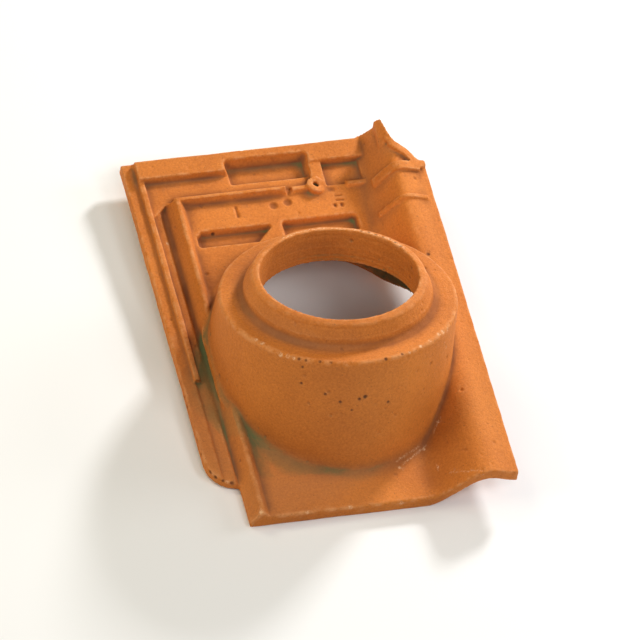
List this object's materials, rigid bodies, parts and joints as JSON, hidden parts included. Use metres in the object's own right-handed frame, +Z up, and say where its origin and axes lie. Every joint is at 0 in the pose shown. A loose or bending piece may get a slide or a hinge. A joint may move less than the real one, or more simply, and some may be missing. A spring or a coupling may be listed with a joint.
{
  "type": "roof vent tile",
  "caption": "Pressed clay interlocking roof tile with one side roll, carrying a round drum, shoulder and open collar that lean so that a vent pipe stands plumb on the slope",
  "frame": {"origin": "under the middle of the bounding box, on the level surface that the foot edge and the two batten nibs rest on", "axes": "+X across the tile from the side lock to the roll, +Y up the slope from the foot edge to the head edge, +Z up"},
  "size_m": [0.284, 0.4314, 0.1479],
  "materials": {
    "terracotta": "matt unglazed fired clay"
  },
  "bodies": {
    "root": {"vent_tile": "terracotta"}
  },
  "joints": []
}
